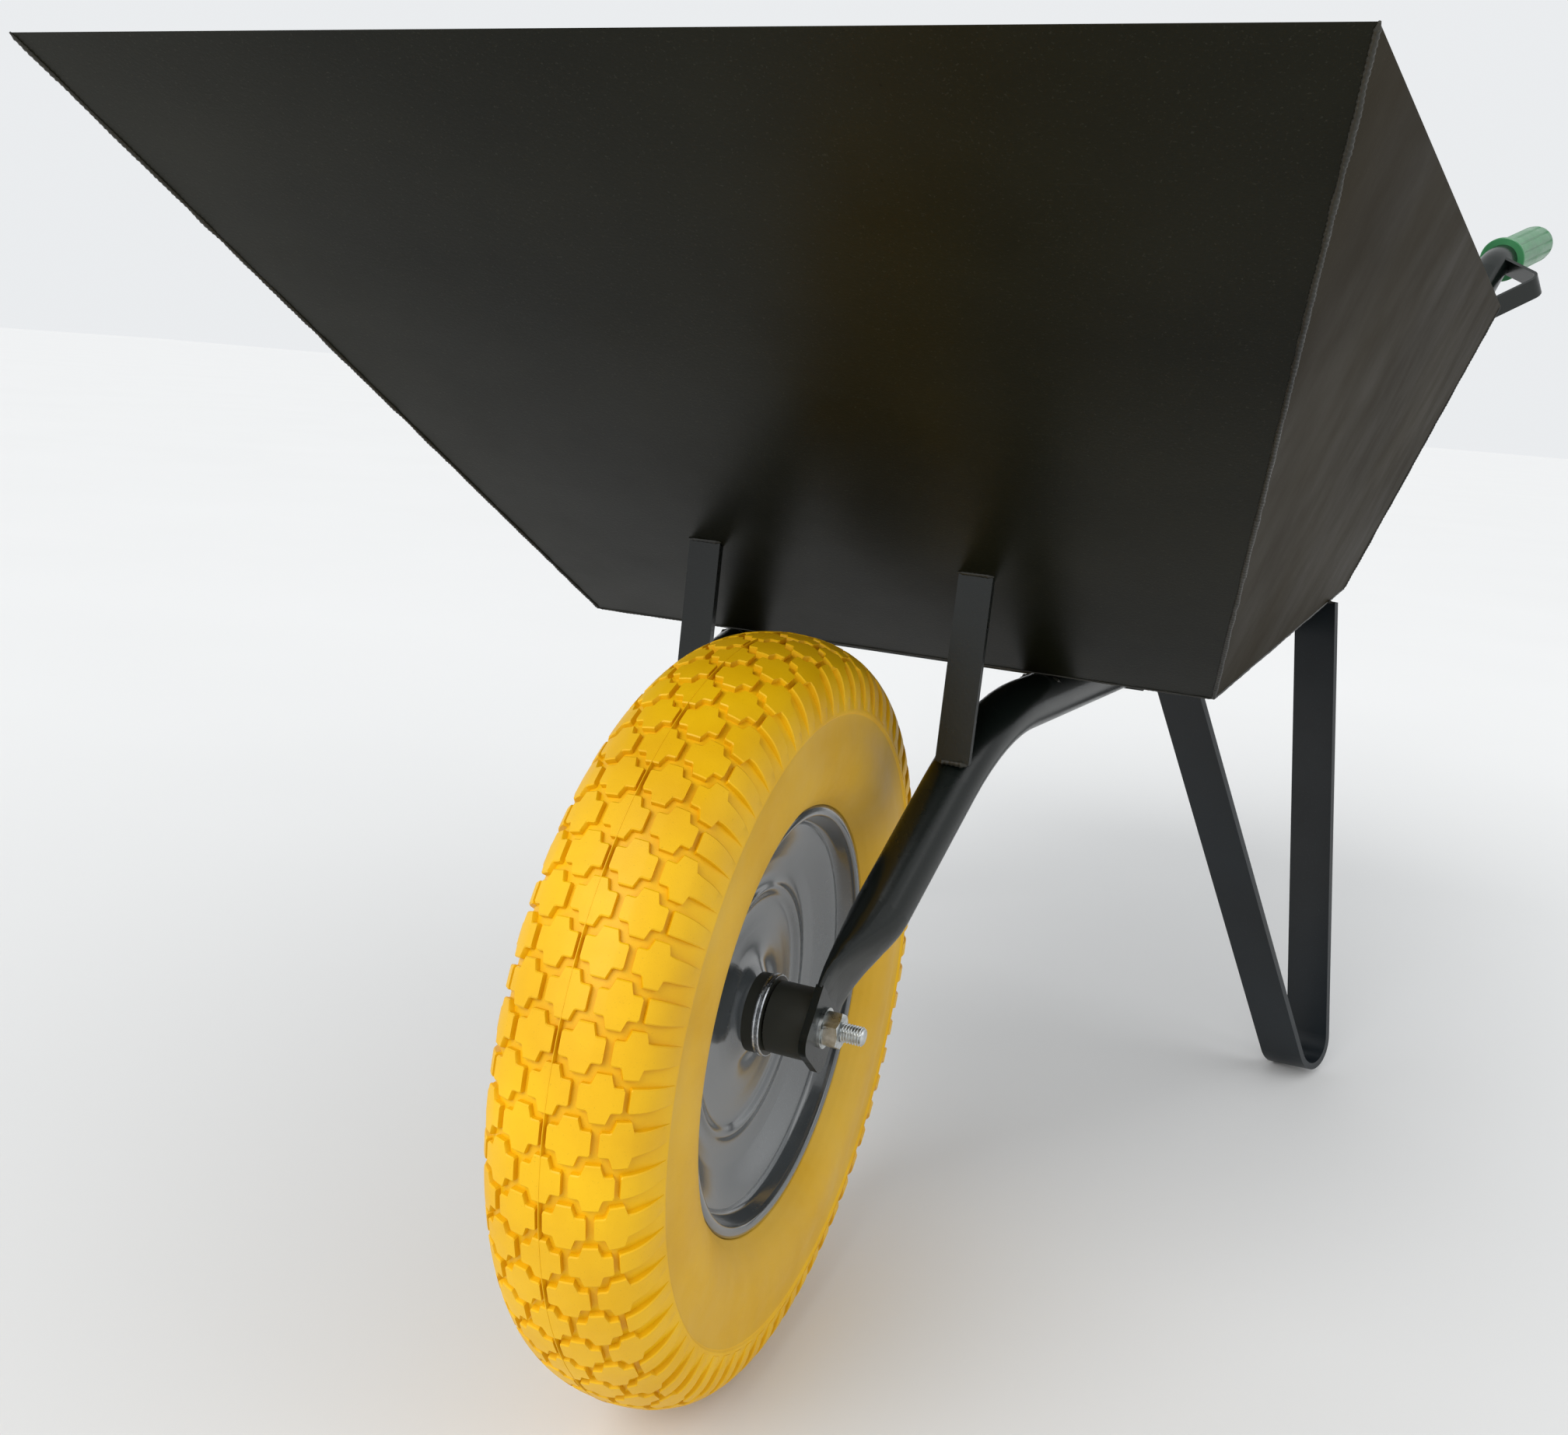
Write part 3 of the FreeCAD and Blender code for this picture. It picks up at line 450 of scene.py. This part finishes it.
hub_flange = [(11.0, 20.5), (9.8, 23.0), (8.2, 26.2), (7.0, 30.5), (6.5, 38)]
bowl = spline([(6.5, 44), (6.5, 52), (6.9, 58.5), (8.6, 62.2), (9.2, 64.6), (8.4, 67.6),
               (8.6, 72), (10.2, 79.4)], 5)
well = spline([(10.6, 80.8), (12.6, 86), (15.6, 93.2), (17.0, 97.0), (17.4, 98.8),
               (16.9, 100.6), (18.5, 102.2), (21.5, 103.4), (25.6, 104.7)], 4)
lip = [(26.4 + 1.9 * math.cos(a), 107.6 + 3.0 * math.sin(a))
       for a in np.linspace(-1.35, 1.75, 12)]
inside = [(25.3, 109.2), (25.3, 107.2), (16.5, 104.0), (15.0, 98.0), (8.5, 81.0), (4.5, 63.0),
          (4.5, 20.5)]
rim_section = hub_flange + bowl + well + lip + inside
ring_section = [(17.0, 20.6), (17.2, 21.3), (17.9, 21.6), (18.6, 21.3), (18.8, 20.7),
                (19.5, 20.7), (19.7, 21.2), (20.3, 21.4), (20.9, 21.0), (21.0, 19.0),
                (17.0, 19.0)]

for name, side in SIDES:
    verts, faces = spin([(side * x, r) for x, r in rim_section], RIM_STEPS)
    piece("rim_dish_" + name, verts, faces, "wheel", RIM, ("rim_" + name,), 34)
for name, side in SIDES:
    verts, faces = spin([(side * x, r) for x, r in ring_section], HUB_STEPS)
    piece("hub_ring_" + name, verts, faces, "wheel", STEEL, (), 40)

# ------------------------------------------------------------------ axle bolt with thread

BOLT_STEPS = 40
HEAD_STEPS = 48
SHANK_RADIUS = 5.0
THREAD_PITCH = 1.5
THREAD_ROOT, THREAD_RISE = 4.2, 0.78
HEX_FLATS = 17.0

bolt_lo, bolt_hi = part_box("axle_bolt")
nut_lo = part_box("axle_nut")[0]
head_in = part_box("axle_washer_left")[0].x / MM
head_out = bolt_lo.x / MM
bolt_end = bolt_hi.x / MM
thread_start = nut_lo.x / MM - 3.0


def thread_radius(x, share):
    """Radius of the thread at x, this share of a turn round the bolt."""
    phase = (x / THREAD_PITCH - share) % 1.0
    ridge = max(0.0, 1 - abs(phase - 0.5) / 0.42)
    return THREAD_ROOT + THREAD_RISE * min(1.0, ridge * 1.25)


def bolt_shank():
    """Plain shank from the head, then the thread, then a chamfered end."""
    places = [(head_in, SHANK_RADIUS), (thread_start, SHANK_RADIUS)]
    places += [(x, None) for x in np.arange(thread_start + 0.1, bolt_end - 0.9, THREAD_PITCH / 8)]
    places += [(bolt_end - 0.9, 4.5), (bolt_end - 0.2, 4.0), (bolt_end, 3.7)]
    verts = []
    for x, radius in places:
        for k in range(BOLT_STEPS):
            share = k / BOLT_STEPS
            verts.append(about_axle(x, radius or thread_radius(x, share), TURN * share))
    piece("axle_bolt_thread", verts, rod_faces(len(places), BOLT_STEPS), "frame", ZINC,
          ("axle_bolt",), 35)


def bolt_head():
    """Hexagon head whose corners are rounded off towards its outer face."""
    corner = HEX_FLATS / math.sqrt(3)
    rings = ((head_in, 0.90), (head_in - 0.6, 0.99), (head_in - 1.0, 1.0),
             (head_out + 1.4, 1.0), (head_out + 0.6, 0.955), (head_out, 0.86))
    verts = []
    for x, scale in rings:
        for k in range(HEAD_STEPS):
            angle = TURN * k / HEAD_STEPS
            to_flat = (angle + math.pi / 6) % (math.pi / 3) - math.pi / 6
            radius = min(HEX_FLATS / 2 / math.cos(to_flat), corner * 0.985 * scale)
            verts.append(about_axle(x, radius, angle))
    piece("axle_bolt_head", verts, rod_faces(len(rings), HEAD_STEPS), "frame", ZINC,
          (), 25)


bolt_shank()
bolt_head()

# ------------------------------------------------------------------ grips

FLUTES = 12
FLUTE_STEPS = 12
GRIP_STEPS = FLUTES * FLUTE_STEPS
BORE_RADIUS = 15.05
BORE_DEPTH = 121.5
# (distance along the grip, radius, whether it is fluted there), from the flange to the end
GRIP_OUTLINE = ((0.0, 16.4, False), (0.0, 21.0, False), (0.6, 21.8, False), (4.4, 21.8, False),
                (5.0, 21.2, False), (5.6, 19.4, False), (8.0, 18.6, False), (9.5, 18.5, True),
                (40, 18.6, True), (80, 18.7, True), (113.0, 18.8, True), (115.0, 18.8, False),
                (119.5, 18.4, False), (123.0, 16.8, False), (125.2, 13.8, False),
                (126.0, 9.0, False), (126.2, 3.0, False))


def at(x, y, z):
    """A point given in mm from the floor below the axle."""
    return Vector((x * MM, y * MM + axle.y, z * MM))


def flute_lift(step):
    """Lift of the skin at this step round the grip: a narrow groove between broad flutes."""
    off_groove = abs(step % FLUTE_STEPS - FLUTE_STEPS / 2)
    if off_groove < 1:
        return -0.95
    if off_groove < 2:
        return -0.55
    return 0.2 - 0.02 * (FLUTE_STEPS / 2 - off_groove)


def handle_grip(name, side):
    start = at(side * 338.5, 1085.0, 686.0)
    ahead = Vector((side * 36.5, 120.0, 31.0)).normalized()
    across = ahead.cross(Vector((0, 0, 1))).normalized()
    up = across.cross(ahead)

    def skin(along, radius, step):
        angle = TURN * step / GRIP_STEPS
        return (start + ahead * (along * MM) + across * (radius * MM * math.cos(angle))
                + up * (radius * MM * math.sin(angle)))

    verts = [skin(along, radius + (flute_lift(k) if fluted else 0.0), k)
             for along, radius, fluted in GRIP_OUTLINE for k in range(GRIP_STEPS)]
    faces = ring_faces(len(GRIP_OUTLINE), GRIP_STEPS)
    inner = len(verts)
    faces.append(list(reversed(range(inner - GRIP_STEPS, inner))))
    verts += [skin(along, BORE_RADIUS, k) for along in (0.0, BORE_DEPTH)
              for k in range(GRIP_STEPS)]
    faces += [tuple(reversed(face)) for face in ring_faces(2, GRIP_STEPS, False, inner)]
    faces.append([inner + GRIP_STEPS + k for k in range(GRIP_STEPS)])
    for k in range(GRIP_STEPS):
        following = (k + 1) % GRIP_STEPS
        faces.append((k, inner + k, inner + following, following))
    piece("handle_grip_" + name, verts, faces, "frame", GRIP,
          ("grip_" + name,), 35)


for name, side in SIDES:
    handle_grip(name, side)

# ------------------------------------------------------------------ weld beads

BEAD_STEP = 0.9
BEAD_SIDES = 8
RIPPLE_LENGTH = 2.6


def bead(name, points, radius, squash, seed):
    """Lumpy hand-laid weld along a line; radius in mm, points in metres."""
    order = np.random.default_rng(seed)
    dense = []
    for a, b in zip(points[:-1], points[1:]):
        count = max(2, int((b - a).length / (BEAD_STEP * MM)))
        dense += [a.lerp(b, k / count) for k in range(count)]
    dense.append(points[-1])
    count = len(dense)
    drift = np.convolve(order.normal(0, 1, count + 24), np.ones(25) / 25, "valid")
    swell = np.convolve(order.normal(0, 1, count + 8), np.ones(9) / 9, "valid")
    verts = []
    for i, p in enumerate(dense):
        t = (dense[min(i + 1, count - 1)] - dense[max(i - 1, 0)]).normalized()
        side = t.cross(Vector((0.3, 0.2, 1))).normalized()
        up = side.cross(t)
        ripple = 1 + 0.16 * math.cos(TURN * i * BEAD_STEP / RIPPLE_LENGTH) + 0.30 * swell[i]
        taper = min(1.0, 0.35 + 0.65 * min(i, count - 1 - i) / 3)
        r = radius * MM * ripple * taper
        middle = p + side * (drift[i] * radius * 0.5 * MM)
        for k in range(BEAD_SIDES):
            angle = TURN * k / BEAD_SIDES
            verts.append(middle + side * (r * math.cos(angle))
                         + up * (r * squash * math.sin(angle)))
    piece(name, verts, rod_faces(count, BEAD_SIDES), "frame", WELD, (), 60)


def corners_of(node):
    """Every vertex of a CAD node as an array, in metres."""
    return np.array([v.co for v in nodes[node].data.vertices], float)


def widest(points):
    """The two ends of a run of points along its longest direction."""
    middle = points.mean(0)
    way = np.linalg.svd(points - middle)[2][0]
    reach = (points - middle) @ way
    return Vector(points[reach.argmin()]), Vector(points[reach.argmax()])


def tray_seams():
    """Beads down the tray's outer corners and along both ends of its floor."""
    outline = ((248.0, -208.0, 619.0), (196.5, 190.0, 356.0), (246.4, 695.0, 374.0),
               (331.0, 752.0, 617.0))
    for name, side in SIDES:
        front_top, front_low, rear_low, rear_top = (at(side * x, y, z) for x, y, z in outline)
        bead("seam_front_" + name, [front_top, front_low], 1.15, 0.9, 11 + side)
        bead("seam_low_" + name, [front_low, rear_low], 0.8, 0.8, 15 + side)
        bead("seam_rear_" + name, [rear_low, rear_top], 1.1, 0.9, 19 + side)
    bead("seam_floor_front", [at(-196.5, 190, 356), at(196.5, 190, 356)], 0.7, 0.8, 31)
    bead("seam_floor_rear", [at(-246.4, 695, 374), at(246.4, 695, 374)], 0.8, 0.8, 32)


def strut_welds(name):
    """Beads across a strut's foot on the tube and across its head on the front plate."""
    co = corners_of("strut_" + name)
    x0, x1 = co[:, 0].min(), co[:, 0].max()
    foot = co[co[:, 2] < co[:, 2].min() + 1.5 * MM]
    y, z = foot[:, 1].min() + 1.0 * MM, foot[:, 2].min() + 0.4 * MM
    bead("strut_foot_weld_" + name, [Vector((x0 + 1.0 * MM, y, z)), Vector((x1 - 1.0 * MM, y, z))],
         1.9, 0.9, 41)
    head = co[co[:, 2] > co[:, 2].max() - 7.5 * MM]
    front = head[:, 1].min()
    top = head[head[:, 1] < front + 0.8 * MM][:, 2].max()
    y, z = front - 0.4 * MM, top - 0.1 * MM
    bead("strut_head_weld_" + name, [Vector((x0 - 0.5 * MM, y, z)), Vector((x1 + 0.5 * MM, y, z))],
         1.2, 0.9, 43)


def leg_welds(name):
    """Beads across the rear and front ends of a leg's strap."""
    co = corners_of("leg_" + name)
    a, b = widest(co[co[:, 2] > co[:, 2].max() - 2 * MM])
    bead("leg_rear_weld_" + name, [a.lerp(b, 0.05), a.lerp(b, 0.95)], 1.8, 0.8, 51)
    front = co[co[:, 1] < co[:, 1].min() + 45 * MM]
    a, b = widest(front[front[:, 2] > front[:, 2].max() - 4 * MM])
    bead("leg_front_weld_" + name, [a, b], 1.6, 0.8, 52)


def tube_weld(name, side):
    """Curved bead where the tube meets the front edge of the floor."""
    points = []
    for dx in (-12, -8, -4, 0, 4, 8, 12):
        sag = 0.02 * dx * dx
        points.append(at(side * 97.7 + dx, 191.5 + sag, 353.6 - sag))
    bead("tube_tray_weld_" + name, points, 2.0, 0.9, 53)


def guard_welds(name):
    """Beads across both ends of a hand guard."""
    co = corners_of("hand_guard_" + name)
    off_middle = np.abs(co[:, 0])
    upper = co[off_middle < off_middle.min() + 30 * MM]
    a, b = widest(upper[upper[:, 2] > upper[:, 2].max() - 3 * MM])
    bead("guard_top_weld_" + name, [a, b], 1.5, 0.8, 54)
    lower = co[off_middle < off_middle.min() + 4 * MM]
    a, b = widest(lower[lower[:, 2] < lower[:, 2].min() + 12 * MM])
    bead("guard_low_weld_" + name, [a, b], 1.5, 0.8, 54)


tray_seams()
for name, side in SIDES:
    strut_welds(name)
for name, side in SIDES:
    leg_welds(name)
    tube_weld(name, side)
    guard_welds(name)

# ------------------------------------------------------------------ finishes on the CAD nodes

REPLACED = ("tyre", "rim_left", "rim_right", "axle_bolt", "grip_left", "grip_right")
FINISH = (
    (("tray_front", "tray_rear", "tray_floor"), TRAY), (("tray_side",), SIDE_PAINTED_SHEEN),
    (("frame_tube", "cross_bar", "strut", "hand_guard"), FRAME), (("leg_",), LEG),
    (("hub_",), BLACK), (("bearing", "axle_sleeve"), STEEL), (("axle_",), ZINC),
)
for name, obj in nodes.items():
    for starts, mat in FINISH:
        if name.startswith(starts):
            obj.data.materials.clear()
            obj.data.materials.append(mat)
            break
    if name not in REPLACED:
        shade(obj, 32)

# ------------------------------------------------------------------ floor, light, camera

FLOOR_REACH = 40
YAW, PITCH, ROLL = (math.radians(angle) for angle in (21.17, -12.95, 4.63))
CAMERA_PLACE = Vector((0.2703, -0.6645 + axle.y, 0.5147))
SENSOR_WIDTH = 36.0
FOCAL_LENGTH = 34.207


def studio_floor():
    mesh = bpy.data.meshes.new("floor")
    mesh.from_pydata([(x * FLOOR_REACH, y * FLOOR_REACH, 0)
                      for x, y in ((-1, -1), (1, -1), (1, 1), (-1, 1))], [], [(0, 1, 2, 3)])
    floor = bpy.data.objects.new("floor", mesh)
    bpy.context.scene.collection.objects.link(floor)
    mat, tree, shader, place = new_material("studio_floor")
    tone = mix(tree, noise(tree, place, 1.5), (0.74, 0.74, 0.735), (0.77, 0.77, 0.765))
    tree.links.new(tone, shader.inputs["Base Color"])
    shader.inputs["Roughness"].default_value = 0.85
    floor.data.materials.append(mat)


def lamp(name, kind, power, facing, place):
    """A light at a place, shining along a direction; its data is given back."""
    data = bpy.data.lights.new(name, kind)
    data.energy = power
    obj = bpy.data.objects.new(name, data)
    obj.location = place
    obj.rotation_mode = "QUATERNION"
    obj.rotation_quaternion = facing.to_track_quat("-Z", "Y")
    bpy.context.scene.collection.objects.link(obj)
    return data


def lights():
    """White surroundings, a broad soft sun from ahead of the wheel, and a side softbox."""
    world = bpy.data.worlds.new("studio")
    bpy.context.scene.world = world
    world.use_nodes = True
    background = world.node_tree.nodes["Background"]
    background.inputs["Color"].default_value = (0.96, 0.98, 1.0, 1)
    background.inputs["Strength"].default_value = 0.86
    sun = lamp("key_light", "SUN", 1.7, Vector((0.30, 0.95, -0.78)), (0, 0, 0))
    sun.angle = 0.7
    box_place = Vector((3.0, -0.6, 2.6))
    softbox = lamp("fill_softbox", "AREA", 12, Vector((0, 0, 0.3)) - box_place, box_place)
    softbox.shape = "RECTANGLE"
    softbox.size, softbox.size_y = 2.2, 1.8


def main_camera():
    ahead = Vector((-math.sin(YAW) * math.cos(PITCH), math.cos(YAW) * math.cos(PITCH),
                    math.sin(PITCH)))
    level = Vector((math.cos(YAW), math.sin(YAW), 0))
    upward = level.cross(ahead)
    right = level * math.cos(ROLL) + upward * math.sin(ROLL)
    up = upward * math.cos(ROLL) - level * math.sin(ROLL)
    camera = bpy.data.objects.new("camera", bpy.data.cameras.new("camera"))
    camera.data.sensor_width = SENSOR_WIDTH
    camera.data.lens = FOCAL_LENGTH
    camera.data.clip_start, camera.data.clip_end = 0.02, 100
    camera.matrix_world = Matrix(((right.x, up.x, -ahead.x, CAMERA_PLACE.x),
                                  (right.y, up.y, -ahead.y, CAMERA_PLACE.y),
                                  (right.z, up.z, -ahead.z, CAMERA_PLACE.z), (0, 0, 0, 1)))
    bpy.context.scene.collection.objects.link(camera)
    bpy.context.scene.camera = camera


studio_floor()
lights()
main_camera()
bpy.context.scene.view_settings.view_transform = "Standard"
